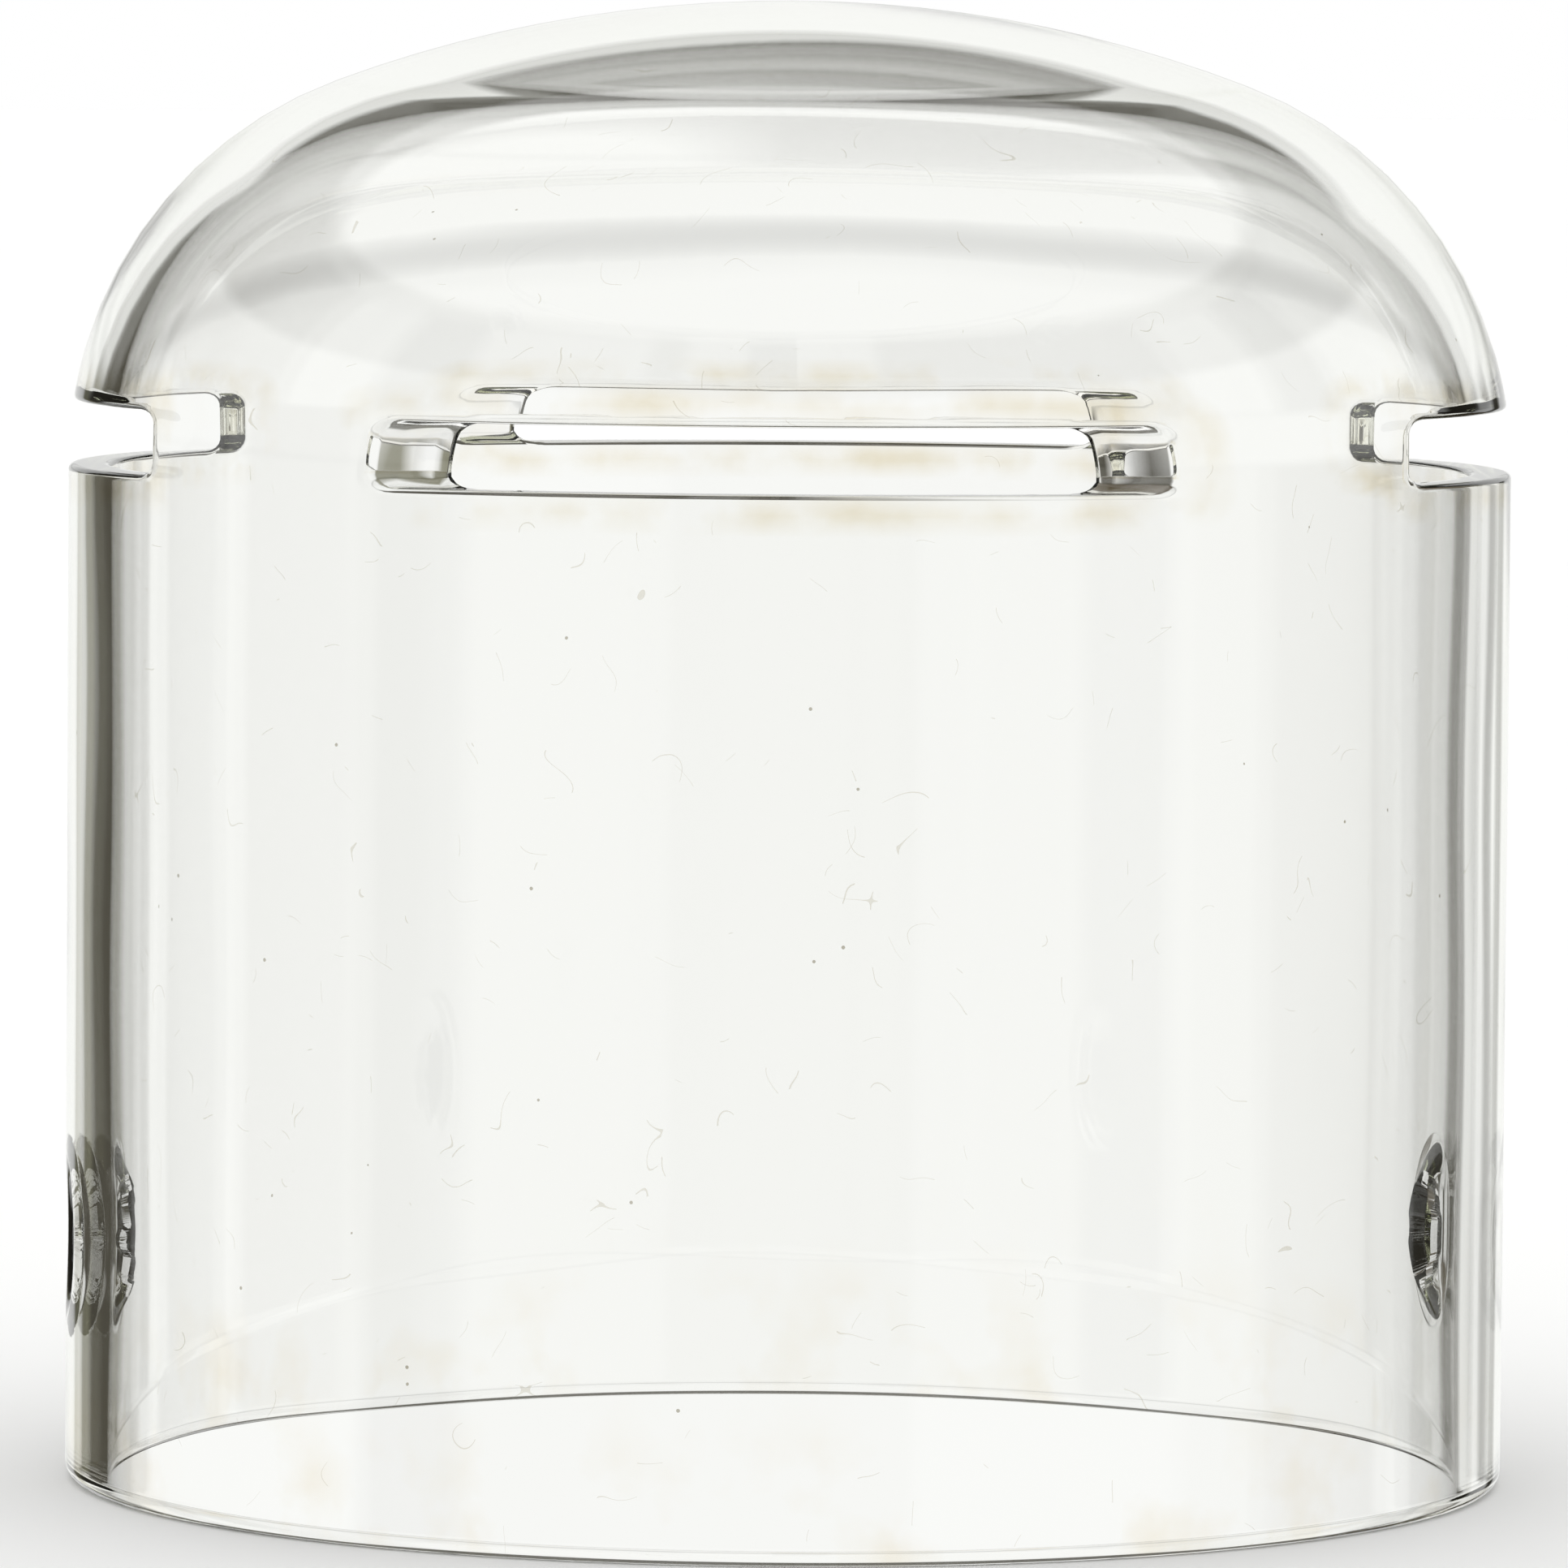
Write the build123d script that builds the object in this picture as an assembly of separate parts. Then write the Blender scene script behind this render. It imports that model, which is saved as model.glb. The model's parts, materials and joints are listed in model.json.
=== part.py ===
from build123d import *
import os
from math import cos, radians, sin, sqrt

# Glass dome cover of a studio flash head, in millimetres.
# It is one piece of borosilicate glass: a tube closed by a domed crown, open at the bottom.
# The origin is the centre of the rim, where the cover stands, and +Z is the axis of the tube.
# -Y is the front, and the four vent slots face -Y, +X, +Y and -X.

# Tube and rim
outer_diameter = 75.0
wall = 2.2
overall_height = 77.0
rim_edge_radius = 0.85        # fire-polished inner and outer edges of the open rim

# Dome: a flat-crowned cap that meets the tube through a rounder shoulder
crown_radius = 67.5           # outside of the crown
shoulder_radius = 21.2        # outside of the shoulder

# Vent slots, each one a straight cut across the wall by a wheel with rounded corners
slot_count = 4
slot_height = 3.3
slot_bite = 3.63              # how far the straight cut goes in past the inner wall
slot_centre_lift = 1.6        # middle of the slots above the line where the dome starts
slot_corner_radius = 0.7      # rounded corners at the bottom of the cut
slot_edge_radius = 0.3        # fire-polished edges where a slot breaks through the wall

# Catch dimples, pressed in from outside by a round-nosed tool, opposite one another
dimple_count = 2
dimple_tool_radius = 4.8
dimple_depth = 1.6
dimple_centre_height = 12.7
dimple_turn = 7.0             # degrees from the +X slot round towards the +Y slot
dimple_lip_radius = 0.7       # soft outer lip of the dent
dimple_foot_radius = 0.6      # soft foot of the bump inside

# Sizes that follow from the ones above
outer_radius = outer_diameter / 2
inner_radius = outer_radius - wall
dome_rise = crown_radius - sqrt((crown_radius - shoulder_radius) ** 2 - (outer_radius - shoulder_radius) ** 2)
dome_start = overall_height - dome_rise
crown_centre = overall_height - crown_radius
slot_centre = dome_start + slot_centre_lift
slot_floor = inner_radius - slot_bite
bump_radius = dimple_tool_radius + wall
bump_root = wall / 4          # how far the bump's glass is merged into the wall behind it
dimple_tool_centre = outer_radius + dimple_tool_radius - dimple_depth

# Picking out the edges to soften
edge_samples = (0.25, 0.75)   # places along an edge where its distance from the axis is read
edge_margin = 0.01            # slack for an edge that ends level with a slot's top or bottom
face_margin = wall / 5        # an edge this near a face of the wall runs along that face


def dome_arcs(tube_radius, crown, shoulder, top):
    """Shoulder and crown arcs of one face of the dome, from the tube to the axis."""
    shoulder_x = tube_radius - shoulder
    lean = shoulder_x / (crown - shoulder)
    rise = sqrt(1 - lean ** 2)
    meeting = (crown * lean, crown_centre + crown * rise)
    half_lean = sqrt((1 + lean) / 2)
    half_rise = sqrt((1 - lean) / 2)
    shoulder_middle = (shoulder_x + shoulder * half_lean, dome_start + shoulder * half_rise)
    small_lean = sqrt((1 - rise) / 2)
    small_rise = sqrt((1 + rise) / 2)
    crown_middle = (crown * small_lean, crown_centre + crown * small_rise)
    return [
        ThreePointArc((tube_radius, dome_start), shoulder_middle, meeting),
        ThreePointArc(meeting, crown_middle, (0, top)),
    ]


def make_shell():
    """Tube and dome as one revolved wall of even thickness, with a rounded rim."""
    outer_start = outer_radius - rim_edge_radius
    inner_start = inner_radius + rim_edge_radius
    diagonal = rim_edge_radius * (1 - sqrt(0.5))
    outside = [
        Line((inner_start, 0), (outer_start, 0)),
        ThreePointArc(
            (outer_start, 0),
            (outer_radius - diagonal, diagonal),
            (outer_radius, rim_edge_radius),
        ),
        Line((outer_radius, rim_edge_radius), (outer_radius, dome_start)),
    ]
    outside += dome_arcs(outer_radius, crown_radius, shoulder_radius, overall_height)
    inside = dome_arcs(inner_radius, crown_radius - wall, shoulder_radius - wall, overall_height - wall)
    inside += [
        Line((inner_radius, dome_start), (inner_radius, rim_edge_radius)),
        ThreePointArc(
            (inner_radius, rim_edge_radius),
            (inner_radius + diagonal, diagonal),
            (inner_start, 0),
        ),
    ]
    axis_line = Line((0, overall_height), (0, overall_height - wall))
    section = Plane.XZ * make_face(outside + [axis_line] + inside)
    return revolve(section, Axis.Z)


def make_slot_cutter():
    """The wheel's path for the +X slot: a bar with rounded inner corners, lying along Y."""
    reach = outer_radius + wall - slot_floor
    outline = Plane.XZ * Pos(slot_floor + reach / 2, slot_centre) * Rectangle(reach, slot_height)
    bar = extrude(outline, amount=outer_radius, both=True)
    floor_edges = bar.edges().filter_by(Axis.Y).group_by(Axis.X)[0]
    return fillet(floor_edges, slot_corner_radius)


def turned(shape, angle):
    return Rot(0, 0, angle) * shape


def add_dimple(glass, angle):
    """Press one dimple: a dent outside, and inside the bump of glass that it pushes in."""
    place = Pos(dimple_tool_centre, 0, dimple_centre_height)
    bore = Cylinder(inner_radius + bump_root, overall_height)
    bump = (place * Sphere(bump_radius)) & bore
    dented = glass + turned(bump, angle)
    foot = [edge for edge in dented.edges() if is_dimple_edge(edge, angle, inner_radius)]
    dented = fillet(foot, dimple_foot_radius)
    dented = dented - turned(place * Sphere(dimple_tool_radius), angle)
    lip = [edge for edge in dented.edges() if is_dimple_edge(edge, angle, outer_radius)]
    return fillet(lip, dimple_lip_radius)


def is_dimple_edge(edge, angle, radius):
    """True for an edge that circles the dimple at this angle, on the face of this radius."""
    across = Vector(cos(radians(angle)), sin(radians(angle)), 0)
    middle = edge.center(CenterOf.BOUNDING_BOX)
    size = edge.bounding_box().size
    near_height = abs(middle.Z - dimple_centre_height) < bump_radius
    small = max(size.X, size.Y, size.Z) < 2 * bump_radius
    on_side = middle.dot(across) > 0
    point = edge @ edge_samples[0]
    on_face = abs(sqrt(point.X ** 2 + point.Y ** 2) - radius) < face_margin
    return near_height and small and on_side and on_face


def soften_slot_edges(glass):
    """Round the sharp edges that the slots leave on the outer and inner faces of the wall."""
    low = slot_centre - slot_height / 2
    high = slot_centre + slot_height / 2
    sharp = []
    for edge in glass.edges():
        box = edge.bounding_box()
        if box.min.Z < low - edge_margin or box.max.Z > high + edge_margin:
            continue
        radii = [sqrt((edge @ t).X ** 2 + (edge @ t).Y ** 2) for t in edge_samples]
        runs_on_wall = all(min(abs(r - outer_radius), abs(r - inner_radius)) < face_margin for r in radii)
        if runs_on_wall:
            sharp.append(edge)
    return fillet(sharp, slot_edge_radius)


def make_glass_cover():
    glass = make_shell()
    for index in range(dimple_count):
        glass = add_dimple(glass, dimple_turn + index * 360 / dimple_count)
    for index in range(slot_count):
        glass -= turned(make_slot_cutter(), index * 360 / slot_count)
    return soften_slot_edges(glass)


os.makedirs("parts", exist_ok=True)
glass_cover = make_glass_cover()
export_step(glass_cover, "parts/glass_cover.step")
print("glass_cover", round(glass_cover.volume), "mm3", glass_cover.bounding_box().size)
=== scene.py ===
import json
from math import asin, atan2, cos, pi, radians, sin, sqrt

import bmesh
import bpy
import numpy as np
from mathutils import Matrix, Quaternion, Vector

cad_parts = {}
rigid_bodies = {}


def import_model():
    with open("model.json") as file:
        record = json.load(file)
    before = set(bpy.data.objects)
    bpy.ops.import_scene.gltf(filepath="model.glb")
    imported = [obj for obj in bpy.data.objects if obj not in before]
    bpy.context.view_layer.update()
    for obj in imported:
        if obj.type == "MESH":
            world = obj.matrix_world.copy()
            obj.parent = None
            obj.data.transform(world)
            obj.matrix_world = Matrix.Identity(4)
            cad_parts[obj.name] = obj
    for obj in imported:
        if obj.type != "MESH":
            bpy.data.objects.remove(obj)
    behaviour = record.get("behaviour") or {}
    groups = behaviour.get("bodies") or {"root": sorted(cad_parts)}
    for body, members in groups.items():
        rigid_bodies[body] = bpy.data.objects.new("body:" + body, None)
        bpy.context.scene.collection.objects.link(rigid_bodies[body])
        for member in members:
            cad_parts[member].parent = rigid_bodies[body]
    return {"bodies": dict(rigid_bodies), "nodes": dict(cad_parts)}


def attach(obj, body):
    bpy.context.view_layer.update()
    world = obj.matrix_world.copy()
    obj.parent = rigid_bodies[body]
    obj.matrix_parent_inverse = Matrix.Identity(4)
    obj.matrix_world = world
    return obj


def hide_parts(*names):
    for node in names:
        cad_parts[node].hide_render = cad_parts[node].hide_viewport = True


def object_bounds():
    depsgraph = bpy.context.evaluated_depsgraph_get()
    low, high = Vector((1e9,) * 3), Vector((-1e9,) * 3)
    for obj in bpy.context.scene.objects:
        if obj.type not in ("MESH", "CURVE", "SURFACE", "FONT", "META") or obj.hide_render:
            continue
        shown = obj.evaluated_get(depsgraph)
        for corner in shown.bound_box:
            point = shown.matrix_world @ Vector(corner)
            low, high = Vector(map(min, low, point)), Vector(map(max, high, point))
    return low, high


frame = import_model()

# Glass dome cover of a studio flash head, one piece of clear glass.
# The frame's mesh of it is remade here much finer, because bent light shows every facet,
# with the same outline, slots, dimples and rim.

mm = 0.001
cadLow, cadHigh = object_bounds()
bodyName = list(frame["bodies"])[0]
nodeName = list(frame["nodes"])[0]

# the glass, in millimetres and degrees
glassCover = {
    "radius": (cadHigh.x - cadLow.x) / 2 / mm,
    "height": (cadHigh.z - cadLow.z) / mm,
    "wall": 2.2,
    "rimRound": 0.85,         # fire-polished edges of the open rim
    "crownRadius": 67.5,
    "shoulderRadius": 21.2,
    "slotHeight": 3.3,
    "slotBite": 3.63,         # how far the straight cut goes in past the inner wall
    "slotLift": 1.6,          # slot middle above the start of the dome
    "slotCorner": 0.7,        # rounded inner corners of the cut
    "slotEdge": 0.3,          # flame-softened edges
    "slotAngles": (0, 90, 180, 270),
    "dimpleTool": 4.8,        # radius of the round nose that pressed the dimples
    "dimpleDepth": 1.6,
    "dimpleHeight": 12.7,
    "dimpleAngles": (7, 187),
    "dimpleLip": 0.7,         # soft edge of the dent outside
    "dimpleFoot": 0.6,        # soft foot of the bump inside
    "wave": 0.012,            # slow unevenness of drawn glass
    "innerWave": 0.018,
    "waveTurns": (0.19, 0.11, 0.17, -0.15),       # radians per millimetre along x, z, z and y
    "innerWaveTurns": (0.16, 0.09, 0.12, 0.2),    # the same along y, z, z and x
    "innerWaveStart": 1.3,
}

g = glassCover
innerRadius = g["radius"] - g["wall"]
crownLean = (g["radius"] - g["shoulderRadius"]) / (g["crownRadius"] - g["shoulderRadius"])
crownRise = sqrt(1 - crownLean ** 2)
domeStart = g["height"] - g["crownRadius"] + (g["crownRadius"] - g["shoulderRadius"]) * crownRise
shoulderX = g["radius"] - g["shoulderRadius"]
crownCentre = g["height"] - g["crownRadius"]
slotMiddle = domeStart + g["slotLift"]
slotFloor = innerRadius - g["slotBite"]
slotTop = slotMiddle + g["slotHeight"] / 2
slotBottom = slotMiddle - g["slotHeight"] / 2


# The shape of the glass as one distance field: below zero is glass.

def softMeet(a, b, radius):
    # where two surfaces meet in an outer edge, rounded to this radius
    corner = np.hypot(np.maximum(a + radius, 0), np.maximum(b + radius, 0))
    return np.minimum(-radius, np.maximum(a, b)) + corner


def domeField(rho, z, tubeRadius, inset):
    # distance from the face of the tube, shoulder and crown that lies this far in
    tube = rho - tubeRadius
    shoulder = np.hypot(rho - shoulderX, z - domeStart) - (g["shoulderRadius"] - inset)
    crown = np.hypot(rho, z - crownCentre) - (g["crownRadius"] - inset)
    onCrown = rho * crownRise < (z - crownCentre) * crownLean
    return np.where(z < domeStart, tube, np.where(onCrown, crown, shoulder))


def glassField(p):
    x, y, z = p[:, 0], p[:, 1], p[:, 2]
    rho = np.hypot(x, y)
    outside = domeField(rho, z, g["radius"], 0)
    cavity = domeField(rho, z, innerRadius, g["wall"])
    a, b, c, d = g["waveTurns"]
    outside = outside + g["wave"] * (1 + np.sin(a * x + b * z) * np.cos(c * z + d * y))
    a, b, c, d = g["innerWaveTurns"]
    swell = np.sin(a * y + g["innerWaveStart"] + b * z) * np.sin(c * z + d * x)
    cavity = cavity + g["innerWave"] * swell
    away = g["radius"] + g["dimpleTool"] - g["dimpleDepth"]
    for angle in g["dimpleAngles"]:
        cx, cy = away * cos(radians(angle)), away * sin(radians(angle))
        ball = np.sqrt((x - cx) ** 2 + (y - cy) ** 2 + (z - g["dimpleHeight"]) ** 2)
        outside = softMeet(outside, g["dimpleTool"] - ball, g["dimpleLip"])
        cavity = softMeet(cavity, g["dimpleTool"] + g["wall"] - ball, g["dimpleFoot"])
    glass = np.maximum(softMeet(outside, -z, g["rimRound"]), softMeet(-cavity, -z, g["rimRound"]))
    for angle in g["slotAngles"]:
        across = x * cos(radians(angle)) + y * sin(radians(angle))
        cut = softMeet(slotFloor - across, np.abs(z - slotMiddle) - g["slotHeight"] / 2, g["slotCorner"])
        glass = softMeet(glass, -cut, g["slotEdge"])
    return glass


def fieldSlope(p, step=0.002):
    # which way the field rises at each point, from small steps to both sides
    slope = np.zeros_like(p)
    for axis in range(3):
        ahead, behind = p.copy(), p.copy()
        ahead[:, axis] += step
        behind[:, axis] -= step
        slope[:, axis] = (glassField(ahead) - glassField(behind)) / (2 * step)
    return slope


def settle(p, rounds=6, leastSlope=0.2):
    # moves points straight onto the glass surface
    for _ in range(rounds):
        slope = fieldSlope(p)
        p = p - (glassField(p) / (slope ** 2).sum(1).clip(leastSlope))[:, None] * slope
    return p


def facePoint(turn, along, inset):
    # a point on the outer or inner face: along is height on the tube, then arc length of the outer face
    shoulderAngle = atan2(crownRise, crownLean)
    shoulderRun = g["shoulderRadius"] * shoulderAngle
    over = np.maximum(along - domeStart, 0)
    onShoulder = np.minimum(over, shoulderRun) / g["shoulderRadius"]
    polar = asin(crownLean) - np.maximum(over - shoulderRun, 0) / g["crownRadius"]
    shoulder = g["shoulderRadius"] - inset
    crown = g["crownRadius"] - inset
    rho = np.where(over > shoulderRun, crown * np.sin(polar), shoulderX + shoulder * np.cos(onShoulder))
    onCrown = crownCentre + crown * np.cos(polar)
    z = np.where(over > shoulderRun, onCrown, domeStart + shoulder * np.sin(onShoulder))
    z = np.where(along < domeStart, along, z)
    return np.stack([rho * np.cos(turn), rho * np.sin(turn), z], -1)


def heightToAlong(z, inset):
    # the other way round: how far along the face a height on the tube or shoulder lies
    share = np.clip((z - domeStart) / (g["shoulderRadius"] - inset), 0, 1)
    return np.where(z < domeStart, z, domeStart + g["shoulderRadius"] * np.arcsin(share))


def faceRadius(z, inset):
    drop = np.maximum(z - domeStart, 0)
    return shoulderX + np.sqrt((g["shoulderRadius"] - inset) ** 2 - drop ** 2)


# how finely the glass is laid out: rows, columns, and steps in millimetres away from a sharp bend
net = {
    "blockHalf": 38.0,        # degrees each side of a slot's middle that its own patch takes
    "blockMargin": 2.8,       # millimetres above and below the slot
    "blockColumns": 64,
    "gapColumns": 9,
    "blockRows": 16,
    "lowRows": 4,             # rows from the rim up to the dimples, past them, and up to the slots
    "dimpleRows": 16,
    "highRows": 14,
    "dimpleBand": 6.5,        # millimetres above and below a dimple's middle with the closer rows
    "domeRows": 20,
    "poleGap": 0.15,          # millimetres from the last row to the top of the dome
    "weld": 0.002,            # points this near one another become one
    "sliver": 0.001,
    "edgeSteps": (0.0, 0.07, 0.14, 0.22, 0.31, 0.45, 0.75, 1.3),
    "wallSteps": (0.0, 0.07, 0.14, 0.22, 0.31, 0.5),
    "wallMiddle": 3,
    "rimSteps": 7,
    "dimpleReach": (7.0, 5.8, 4.9),    # each round halves the edges this near a dimple's middle
}


def slotEndProfile(count):
    # (distance from the axis across the cut, height) from the slot's bottom corner to its top corner
    corner, straight = g["slotCorner"], g["slotHeight"] - 2 * g["slotCorner"]
    arc = corner * pi / 2
    out = []
    for s in np.linspace(0, 2 * arc + straight, count + 1):
        if s < arc:
            a = s / corner
            out.append((slotFloor + corner * (1 - sin(a)), slotBottom + corner * (1 - cos(a))))
        elif s < arc + straight:
            out.append((slotFloor, slotBottom + corner + s - arc))
        else:
            a = (s - arc - straight) / corner
            out.append((slotFloor + corner * (1 - cos(a)), slotTop - corner * (1 - sin(a))))
    return np.array(out)


def slotOutline(columns, inset):
    # the slot's outline on one face as (turn, height), counter-clockwise from its bottom left
    ends = slotEndProfile(net["blockRows"])
    endTurn = np.arccos(ends[:, 0] / faceRadius(ends[:, 1], inset))
    share = columns / radians(net["blockHalf"])
    bottom = [(c * endTurn[0], slotBottom) for c in share]
    right = list(zip(endTurn, ends[:, 1]))
    top = [(c * endTurn[-1], slotTop) for c in share[::-1]]
    left = [(-t, z) for t, z in zip(endTurn[::-1], ends[::-1, 1])]
    return np.array(bottom[:-1] + right[:-1] + top[:-1] + left[:-1])


def blockFrame(columns, rows):
    # the frame of a slot's patch, point for point in the same order as its outline
    bottom = [(c, rows[0]) for c in columns]
    right = [(columns[-1], r) for r in rows]
    top = [(c, rows[-1]) for c in columns[::-1]]
    left = [(columns[0], r) for r in rows[::-1]]
    return np.array(bottom[:-1] + right[:-1] + top[:-1] + left[:-1])


class Net:
    def __init__(self):
        self.points, self.faces, self.count = [], [], 0

    def lay(self, grid, closed=False):
        # a grid of points, rows by columns; closed joins its last column to its first
        rows, columns = grid.shape[:2]
        index = self.count + np.arange(rows * columns).reshape(rows, columns)
        if closed:
            index = np.concatenate([index, index[:, :1]], 1)
        quads = np.stack([index[:-1, :-1], index[:-1, 1:], index[1:, 1:], index[1:, :-1]], -1)
        self.faces.append(quads.reshape(-1, 4))
        self.points.append(grid.reshape(-1, 3))
        self.count += rows * columns


def tubeRows(low):
    # heights of the rows on the tube, closer together where the dimples are
    bandLow = g["dimpleHeight"] - net["dimpleBand"]
    bandHigh = g["dimpleHeight"] + net["dimpleBand"]
    return np.concatenate([
        np.linspace(g["rimRound"], bandLow, net["lowRows"] + 1)[:-1],
        np.linspace(bandLow, bandHigh, net["dimpleRows"] + 1)[:-1],
        np.linspace(bandHigh, low, net["highRows"] + 1),
    ])


def layBlock(shape, angle, columns, rows, inset):
    # the patch round one slot: rings of points from the slot's outline out to the patch's frame
    inner = slotOutline(columns, inset)
    inner[:, 1] = heightToAlong(inner[:, 1], inset)
    outer = blockFrame(columns, rows)
    reach = np.hypot((outer[:, 0] - inner[:, 0]) * g["radius"], outer[:, 1] - inner[:, 1])
    rings = [inner + (outer - inner) * (step / reach)[:, None] for step in net["edgeSteps"]]
    last = net["edgeSteps"][-1] / reach
    for share in (0.5, 1.0):
        rings.append(inner + (outer - inner) * (last + (1 - last) * share)[:, None])
    rings = np.array(rings)
    shape.lay(facePoint(rings[..., 0] + radians(angle), rings[..., 1], inset), True)


def layFace(shape, columns, gap, around, inset):
    # the outer or the inner face: tube, dome, the cap round the axis, and the belt with the slots
    low = slotBottom - net["blockMargin"]
    high = slotTop + net["blockMargin"]
    blockRows = np.linspace(low, heightToAlong(high, 0.0), net["blockRows"] + 1)
    shoulderRun = g["shoulderRadius"] * atan2(crownRise, crownLean)
    topAlong = domeStart + shoulderRun + g["crownRadius"] * asin(crownLean)
    domeRows = np.linspace(blockRows[-1], topAlong - net["poleGap"], net["domeRows"] + 1)
    for rows in (tubeRows(low), domeRows):
        turns = around[None, :] + 0 * rows[:, None]
        shape.lay(facePoint(turns, rows[:, None] + 0 * around, inset), True)
    ring = facePoint(around, np.full_like(around, domeRows[-1]), inset)
    pole = np.repeat([[0, 0, g["height"] - inset]], len(around), 0)
    shape.lay(np.stack([ring, pole]), True)
    for angle in g["slotAngles"]:
        strip = radians(angle) + gap
        turns = strip[None, :] + 0 * blockRows[:, None]
        shape.lay(facePoint(turns, blockRows[:, None] + 0 * strip, inset))
        layBlock(shape, angle, columns, blockRows, inset)


def laySlotWall(shape, angle, columns):
    # the cut through the wall, from the slot's outline on the outer face to the one on the inner
    ends = []
    for inset in (0.0, g["wall"]):
        line = slotOutline(columns, inset)
        rho = faceRadius(line[:, 1], inset)
        turn = line[:, 0] + radians(angle)
        ends.append(np.stack([rho * np.cos(turn), rho * np.sin(turn), line[:, 1]], -1))
    across = ends[1] - ends[0]
    length = np.linalg.norm(across, axis=1)
    steps = [s / length for s in net["wallSteps"]]
    firstIn = net["wallSteps"][-1] / length
    parts = net["wallMiddle"] + 1
    middle = [firstIn + (1 - 2 * firstIn) * k / parts for k in range(1, parts)]
    shares = steps + middle + [1 - s for s in steps[::-1]]
    shape.lay(np.array([ends[0] + across * s[:, None] for s in shares]), True)


def layRim(shape, around):
    # the rim, from the outer wall round under to the inner wall
    bend = np.linspace(0, pi / 2, net["rimSteps"] + 1)
    r = g["rimRound"]
    outerBend = [(g["radius"] - r + r * cos(a), r - r * sin(a)) for a in bend]
    innerBend = [(innerRadius + r - r * sin(a), r - r * cos(a)) for a in bend]
    flat = [((g["radius"] - r + innerRadius + r) / 2, 0)]
    section = np.array(outerBend + flat + innerBend)
    across, up = section[:, :1], section[:, 1:]
    rim = np.stack([across * np.cos(around), across * np.sin(around), up + 0 * around], -1)
    shape.lay(rim, True)


def buildGlass():
    half = radians(net["blockHalf"])
    columns = np.linspace(-half, half, net["blockColumns"] + 1)
    gap = np.linspace(half, pi / 2 - half, net["gapColumns"] + 1)
    quarter = np.append(columns, gap[1:-1])
    around = np.concatenate([radians(angle) + quarter for angle in g["slotAngles"]])
    shape = Net()
    for inset in (0.0, g["wall"]):
        layFace(shape, columns, gap, around, inset)
    for angle in g["slotAngles"]:
        laySlotWall(shape, angle, columns)
    layRim(shape, around)
    return settle(np.concatenate(shape.points)), np.concatenate(shape.faces)


def dimpleMiddle(angle):
    away = g["radius"] - g["wall"] / 2
    return away * cos(radians(angle)), away * sin(radians(angle)), g["dimpleHeight"]


def refineDimples(work):
    # halves the quads round each dimple, where the glass bends fastest
    for reach in net["dimpleReach"]:
        near = []
        for angle in g["dimpleAngles"]:
            middle = Vector(dimpleMiddle(angle)) * mm
            near += [e for e in work.edges if all((v.co - middle).length < reach * mm for v in e.verts)]
        bmesh.ops.subdivide_edges(work, edges=near, cuts=1, use_grid_fill=True)


def meshPiece(name, points, faces):
    mesh = bpy.data.meshes.new(name)
    mesh.from_pydata((points * mm).tolist(), [], faces.tolist())
    piece = bpy.data.objects.new(name, mesh)
    bpy.context.scene.collection.objects.link(piece)
    work = bmesh.new()
    work.from_mesh(mesh)
    bmesh.ops.remove_doubles(work, verts=work.verts, dist=net["weld"] * mm)
    bmesh.ops.dissolve_degenerate(work, edges=work.edges, dist=net["sliver"] * mm)
    refineDimples(work)
    bmesh.ops.triangulate(work, faces=[f for f in work.faces if len(f.verts) > 4])
    bmesh.ops.recalc_face_normals(work, faces=work.faces)
    work.to_mesh(mesh)
    work.free()
    return piece


def smoothFromField(piece):
    # settles the points that were added, and takes the shading from the true shape
    mesh = piece.data
    co = np.zeros(len(mesh.vertices) * 3)
    mesh.vertices.foreach_get("co", co)
    place = settle(co.reshape(-1, 3) / mm)
    mesh.vertices.foreach_set("co", (place * mm).ravel())
    slope = fieldSlope(place)
    slope /= np.linalg.norm(slope, axis=1)[:, None]
    mesh.update()
    mesh.polygons.foreach_set("use_smooth", np.ones(len(mesh.polygons), bool))
    mesh.normals_split_custom_set_from_vertices(slope.tolist())


points, faces = buildGlass()
glass = meshPiece("glass_dome", points, faces)
smoothFromField(glass)
print("glass:", len(glass.data.vertices), "points,", len(glass.data.polygons), "faces")
edgeUse = np.zeros(len(glass.data.edges), int)
loopEdges = np.zeros(len(glass.data.loops), int)
glass.data.loops.foreach_get("edge_index", loopEdges)
np.add.at(edgeUse, loopEdges, 1)
print("glass: open or doubled edges", int((edgeUse != 2).sum()))
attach(glass, bodyName)
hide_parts(nodeName)


def linear(hexColour):
    parts = [int(hexColour[i:i + 2], 16) / 255 for i in (1, 3, 5)]
    return tuple(c / 12.92 if c <= 0.04045 else ((c + 0.055) / 1.055) ** 2.4 for c in parts) + (1,)


def node(tree, kind, settings, inputs):
    # one node: its settings, and for each input its value, or the socket or node that feeds it
    made = tree.nodes.new(kind)
    for key, value in settings.items():
        setattr(made, key, value)
    for key, source in inputs.items():
        if isinstance(source, bpy.types.Node):
            source = next(out for out in source.outputs if out.enabled)
        if isinstance(source, bpy.types.NodeSocket):
            tree.links.new(source, made.inputs[key])
        else:
            made.inputs[key].default_value = source
    return made


sums = "ShaderNodeMath"
mixed = "ShaderNodeMix"
noise = "ShaderNodeTexNoise"
spread = "ShaderNodeMapRange"
minus = {"operation": "SUBTRACT"}
times = {"operation": "MULTIPLY"}
plus = {"operation": "ADD"}
dividedBy = {"operation": "DIVIDE"}
timesPlus = {"operation": "MULTIPLY_ADD"}
larger = {"operation": "MAXIMUM"}
unsigned = {"operation": "ABSOLUTE"}
root = {"operation": "SQRT"}
under = {"operation": "LESS_THAN"}
past = {"operation": "GREATER_THAN"}
colours = {"data_type": "RGBA"}

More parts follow.
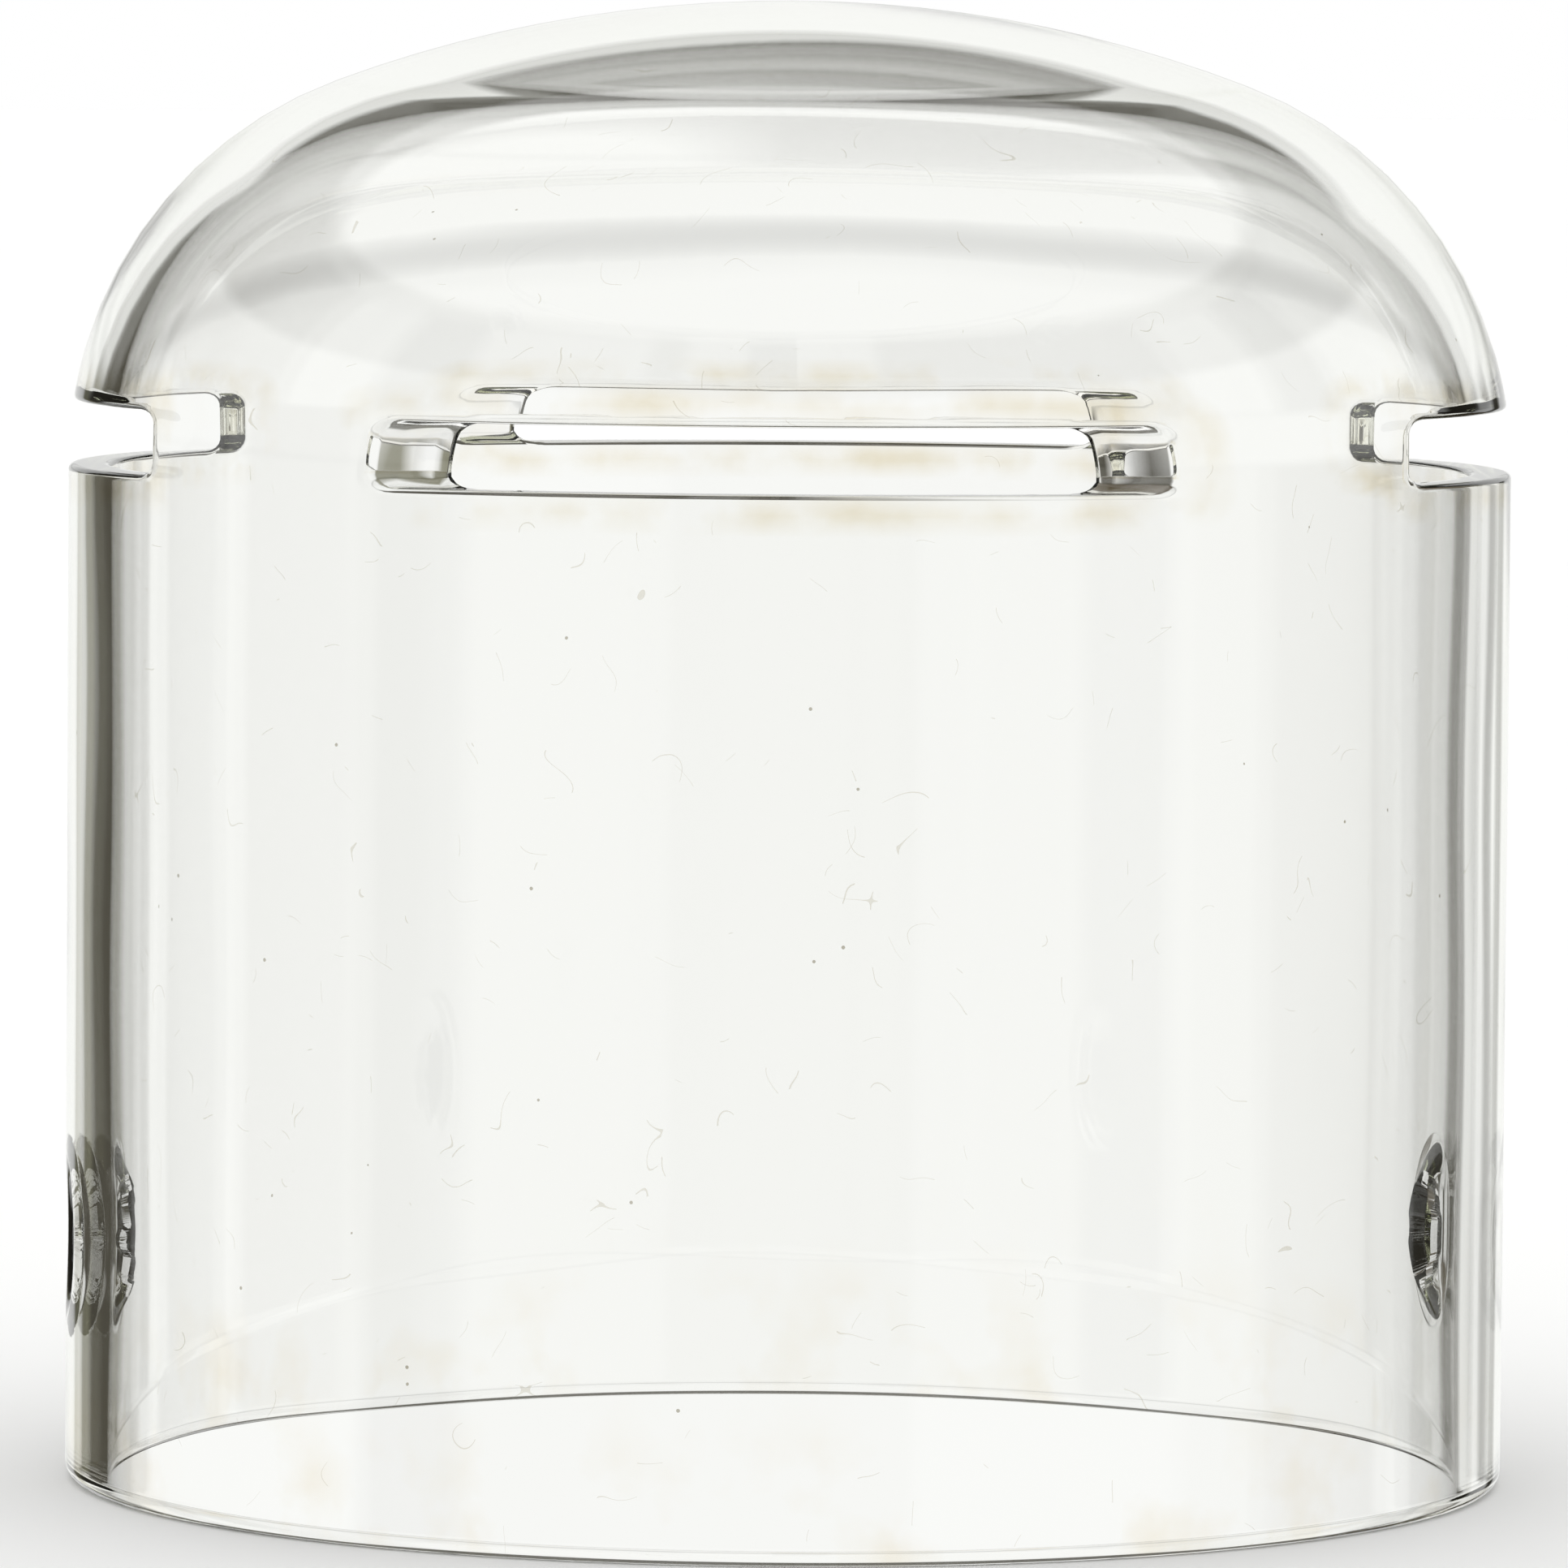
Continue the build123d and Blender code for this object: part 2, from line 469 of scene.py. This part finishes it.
# what lamp heat and handling leave on the glass, in millimetres
wear = {
    "clean": "#FFFFFF",
    "bloomAway": 1.0,         # from a slot's edge to the middle of the amber ring round it
    "bloomWidth": 1.1,
    "bloomColour": "#EEE6D2",
    "bloomPatch": 5.0,        # size of the breaks in the ring
    "bloomBreaks": (5.0, -2.2),     # how sharply the ring breaks up, and how much of it is gone
    "blotchTop": 9.0,         # faint amber blotches near the rim fade out at this height
    "blotchColour": "#F1E7D2",
    "blotchSize": 8.0,
    "blotchBreaks": (6.0, -3.2),
    "speckSpacing": 6.0,
    "speckRadius": 0.10,      # dust, drawn a little coarser than it is so that it shows
    "speckColour": "#8C8675",
    "hairSize": 5.0,
    "hairWidth": 0.0016,      # share of the pattern's swing that is line
    "hairPicks": (2.1, 0.71),       # how much finer the picking pattern is, and its limit
    "hairColour": "#D6D2C6",
    "hazeSize": 14.0,
    "hazeFrom": 0.52,         # the part of the pattern over which the haze comes in
    "hazeTo": 0.7,
    "haze": 0.012,            # roughness where the glass has been wiped
}

borosilicate = {
    "ior": 1.474,
    "tint": "#F2F4E7",        # faint straw, seen through the thick of the wall
    "density": 32.0,          # per metre of glass
}


def slotBloom(tree, parts, place):
    # 1 on the ring round each slot: nearness to the slot's outline, broken up by a slow pattern
    sideX = node(tree, sums, unsigned, {0: parts.outputs["X"]})
    sideY = node(tree, sums, unsigned, {0: parts.outputs["Y"]})
    across = node(tree, sums, larger, {0: sideX, 1: sideY})
    beyond = node(tree, sums, minus, {0: slotFloor * mm, 1: across})
    beyond = node(tree, sums, larger, {0: beyond, 1: 0.0})
    off = node(tree, sums, minus, {0: parts.outputs["Z"], 1: slotMiddle * mm})
    off = node(tree, sums, unsigned, {0: off})
    above = node(tree, sums, minus, {0: off, 1: g["slotHeight"] / 2 * mm})
    above = node(tree, sums, larger, {0: above, 1: 0.0})
    beyond = node(tree, sums, times, {0: beyond, 1: beyond})
    above = node(tree, sums, times, {0: above, 1: above})
    away = node(tree, sums, root, {0: node(tree, sums, plus, {0: beyond, 1: above})})
    miss = node(tree, sums, minus, {0: away, 1: wear["bloomAway"] * mm})
    miss = node(tree, sums, unsigned, {0: miss})
    miss = node(tree, sums, dividedBy, {0: miss, 1: wear["bloomWidth"] * mm})
    ring = node(tree, sums, minus, {0: 1.0, 1: miss})
    ring = node(tree, sums, larger, {0: ring, 1: 0.0})
    broken = node(tree, noise, {},
                  {"Vector": place, "Scale": 1 / (wear["bloomPatch"] * mm), "Detail": 3.0})
    sharpness, gone = wear["bloomBreaks"]
    broken = node(tree, sums, timesPlus, {0: broken, 1: sharpness, 2: gone})
    return node(tree, "ShaderNodeClamp", {}, {0: node(tree, sums, times, {0: ring, 1: broken})})


def rimBlotches(tree, parts, place):
    # 1 in the blotches, which thin out upwards from the rim
    patch = node(tree, noise, {},
                 {"Vector": place, "Scale": 1 / (wear["blotchSize"] * mm), "Detail": 4.0})
    low = node(tree, spread, {},
               {0: parts.outputs["Z"], 1: 0.0, 2: wear["blotchTop"] * mm, 3: 1.0, 4: 0.0})
    sharpness, gone = wear["blotchBreaks"]
    patch = node(tree, sums, timesPlus, {0: patch, 1: sharpness, 2: gone})
    return node(tree, "ShaderNodeClamp", {}, {0: node(tree, sums, times, {0: low, 1: patch})})


def dustSpecks(tree, place):
    cells = node(tree, "ShaderNodeTexVoronoi", {},
                 {"Vector": place, "Scale": 1 / (wear["speckSpacing"] * mm), "Randomness": 1.0})
    return node(tree, sums, under, {0: cells, 1: wear["speckRadius"] / wear["speckSpacing"]})


def shortHairs(tree, place):
    # thin curls along the middle level of one pattern, kept only where a finer one runs high
    finer, limit = wear["hairPicks"]
    curl = node(tree, noise, {}, {"Vector": place, "Scale": 1 / (wear["hairSize"] * mm), "Detail": 1.0})
    line = node(tree, sums, unsigned, {0: node(tree, sums, minus, {0: curl, 1: 0.5})})
    line = node(tree, sums, under, {0: line, 1: wear["hairWidth"]})
    pick = node(tree, noise, {},
                {"Vector": place, "Scale": finer / (wear["hairSize"] * mm), "Detail": 0.0})
    return node(tree, sums, times, {0: line, 1: node(tree, sums, past, {0: pick, 1: limit})})


def glassMaterial():
    # borosilicate glass, flame-polished: the eye reads it by its dark edges, its straw tint
    # through the thick of the wall, and the amber bloom, dust and hairs that sit on it
    material = bpy.data.materials.new("borosilicate_glass_flame_polished")
    material.use_nodes = True
    tree = material.node_tree
    tree.nodes.clear()
    place = node(tree, "ShaderNodeTexCoord", {}, {}).outputs["Object"]
    parts = node(tree, "ShaderNodeSeparateXYZ", {}, {0: place})
    colour = linear(wear["clean"])
    for share, colourName in (
        (slotBloom(tree, parts, place), "bloomColour"),
        (rimBlotches(tree, parts, place), "blotchColour"),
        (dustSpecks(tree, place), "speckColour"),
        (shortHairs(tree, place), "hairColour"),
    ):
        colour = node(tree, mixed, colours, {0: share, 6: colour, 7: linear(wear[colourName])})
    wiped = node(tree, noise, {}, {"Vector": place, "Scale": 1 / (wear["hazeSize"] * mm), "Detail": 2.0})
    haze = node(tree, spread, {},
                {0: wiped, 1: wear["hazeFrom"], 2: wear["hazeTo"], 3: 0.0, 4: wear["haze"]})
    surface = node(tree, "ShaderNodeBsdfPrincipled", {},
                   {"Base Color": colour, "Roughness": haze, "Metallic": 0.0,
                    "IOR": borosilicate["ior"], "Transmission Weight": 1.0})
    depth = node(tree, "ShaderNodeVolumeAbsorption", {},
                 {"Color": linear(borosilicate["tint"]), "Density": borosilicate["density"]})
    node(tree, "ShaderNodeOutputMaterial", {}, {"Surface": surface, "Volume": depth})
    print("glass material:", len(tree.nodes), "nodes")
    return material


glass.data.materials.append(glassMaterial())


# light levels, red, green and blue, where 1 is the white of the background
studio = {
    "background": (1, 1, 1, 1),
    "floorLight": (1.17, 1.17, 1.17, 1),  # what lights the paper on the floor
    "white": (0.96, 0.965, 0.95, 1),
    "olive": (0.24, 0.235, 0.17, 1),
    "dark": (0.075, 0.07, 0.055, 1),
    "brown": (0.11, 0.09, 0.06, 1),
    "paper": (0.72, 0.72, 0.68, 1),
    "grey": (0.66, 0.66, 0.62, 1),
    "box": (1.1, 1.1, 1.1, 1),         # the soft box overhead
    # what stands round the glass, in degrees right of straight behind it: white panels with
    # dark flags at their sides, in three tiers: below the glass, level with it and above it
    "lowRing": (
        (-180, "white"), (-165, "brown"), (-105, "white"), (-83, "dark"), (-64.4, "white"),
        (-28.3, "olive"), (-21, "white"), (-9.4, "dark"), (0, "white"), (15, "brown"),
        (75, "white"), (97, "dark"), (115.6, "white"), (151.7, "olive"), (159, "white"),
        (170.6, "dark"),
    ),
    "levelRing": (
        (-180, "grey"), (-128, "dark"), (-110, "white"), (-54.4, "dark"), (-28, "olive"),
        (-23, "white"), (18, "dark"), (24, "white"), (35, "dark"), (60, "white"), (66, "brown"),
        (96, "grey"), (112, "white"), (158, "grey"),
    ),
    "highRing": (
        (-180, "white"), (-51, "dark"), (-29, "white"), (33, "dark"), (48, "white"),
    ),
    "ringBlend": 2.0,         # degrees over which one zone runs into the next
    # what stands at each height, in degrees above level
    "risers": (
        (-90, "paper"), (-38, "lowRing"), (-11, "levelRing"), (3, "highRing"), (25, "dark"),
        (42, "box"),
    ),
}


def ramp(tree, source, stops, span):
    # a band of colours that run into one another: stops are (place, colour) over the span
    made = node(tree, "ShaderNodeValToRGB", {}, {0: source})
    blend = studio["ringBlend"] / 2
    marks = [stops[0]]
    for before, after in zip(stops, stops[1:]):
        marks += [(after[0] - blend, before[1]), (after[0] + blend, after[1])]
    elements = made.color_ramp.elements
    while len(elements) < len(marks):
        elements.new(0.5)
    for element, (place, colour) in zip(elements, marks):
        element.position = (place - span[0]) / (span[1] - span[0])
        element.color = colour
    return made


floorPaper = {
    "half": 8.0,              # metres
    "colour": "#F6F6F5",
    "roughness": 0.9,
}


def makeFloor():
    mesh = bpy.data.meshes.new("floor")
    size = floorPaper["half"]
    corners = [(-size, -size, 0), (size, -size, 0), (size, size, 0), (-size, size, 0)]
    mesh.from_pydata(corners, [], [(0, 1, 2, 3)])
    floor = bpy.data.objects.new("floor", mesh)
    bpy.context.scene.collection.objects.link(floor)
    # through the glass the eye meets the panels and flags, not the paper
    floor.visible_transmission = False
    floor.visible_glossy = False
    material = bpy.data.materials.new("floor_paper")
    material.use_nodes = True
    paper = material.node_tree.nodes["Principled BSDF"]
    paper.inputs["Base Color"].default_value = linear(floorPaper["colour"])
    paper.inputs["Roughness"].default_value = floorPaper["roughness"]
    mesh.materials.append(material)
    print("floor: pale paper")


def makeStudio():
    # a light tent: white panels, dark flags beside them, and a soft box overhead
    world = bpy.data.worlds.new("studio")
    bpy.context.scene.world = world
    world.use_nodes = True
    tree = world.node_tree
    tree.nodes.clear()
    way = node(tree, "ShaderNodeTexCoord", {}, {})
    parts = node(tree, "ShaderNodeSeparateXYZ", {}, {0: way.outputs["Generated"]})
    compass = node(tree, sums, {"operation": "ARCTAN2"},
                   {0: parts.outputs["X"], 1: parts.outputs["Y"]})
    rise = node(tree, sums, {"operation": "ARCSINE"}, {0: parts.outputs["Z"]})
    around = node(tree, spread, {}, {0: compass, 1: -pi, 2: pi})
    height = node(tree, spread, {}, {0: rise, 1: -pi / 2, 2: pi / 2})
    none, full = (0, 0, 0, 1), (1, 1, 1, 1)
    tiers = studio["risers"]
    plain = [(place, none if "Ring" in name else studio[name]) for place, name in tiers]
    seen = ramp(tree, height, plain, (-90, 90))
    for ringName in ("lowRing", "levelRing", "highRing"):
        stops = [(place, studio[name]) for place, name in studio[ringName]]
        ring = ramp(tree, around, stops, (-180, 180))
        here = [(place, full if name == ringName else none) for place, name in tiers]
        level = ramp(tree, height, here, (-90, 90))
        seen = node(tree, mixed, colours, {0: level, 6: seen, 7: ring})
    rayKind = node(tree, "ShaderNodeLightPath", {}, {}).outputs
    seen = node(tree, mixed, colours, {0: rayKind["Is Camera Ray"], 6: seen, 7: studio["background"]})
    seen = node(tree, mixed, colours, {0: rayKind["Is Diffuse Ray"], 6: seen, 7: studio["floorLight"]})
    light = node(tree, "ShaderNodeBackground", {}, {"Color": seen, "Strength": 1.0})
    node(tree, "ShaderNodeOutputWorld", {}, {"Surface": light})
    print("studio: three rings of panels and flags, and a box overhead")


cameraSet = {                 # millimetres and degrees
    "distance": 610.9,
    "eyeHeight": 76.5,
    "turn": 1.44,
    "aimHeight": 36.2,
    "aimAcross": -0.18,
    "roll": 0.41,
    "lens": 269.5,
    "sensor": 36,
    "nearest": 0.01,          # metres
    "farthest": 50,
}


def placeCamera():
    c = cameraSet
    turn = radians(c["turn"])
    right = Vector((cos(turn), sin(turn), 0))
    back = Vector((sin(turn), -cos(turn), 0))
    eye = back * c["distance"] * mm + Vector((0, 0, c["eyeHeight"] * mm))
    aim = right * c["aimAcross"] * mm + Vector((0, 0, c["aimHeight"] * mm))
    data = bpy.data.cameras.new("camera")
    data.lens = c["lens"]
    data.sensor_width = c["sensor"]
    data.clip_start = c["nearest"]
    data.clip_end = c["farthest"]
    camera = bpy.data.objects.new("camera", data)
    bpy.context.scene.collection.objects.link(camera)
    camera.location = eye
    look = (aim - eye).to_track_quat("-Z", "Y")
    camera.rotation_mode = "QUATERNION"
    camera.rotation_quaternion = look @ Quaternion((0, 0, 1), radians(c["roll"]))
    bpy.context.scene.camera = camera
    print("camera:", round(c["distance"]), "mm away")


lightPaths = {
    "all": 24,                # bends and reflections, as light crosses four faces of glass and more
    "reflected": 12,
}

makeFloor()
makeStudio()
placeCamera()
scene = bpy.context.scene
scene.view_settings.view_transform = "Standard"
scene.cycles.max_bounces = lightPaths["all"]
scene.cycles.transmission_bounces = lightPaths["all"]
scene.cycles.glossy_bounces = lightPaths["reflected"]
scene.cycles.use_denoising = True
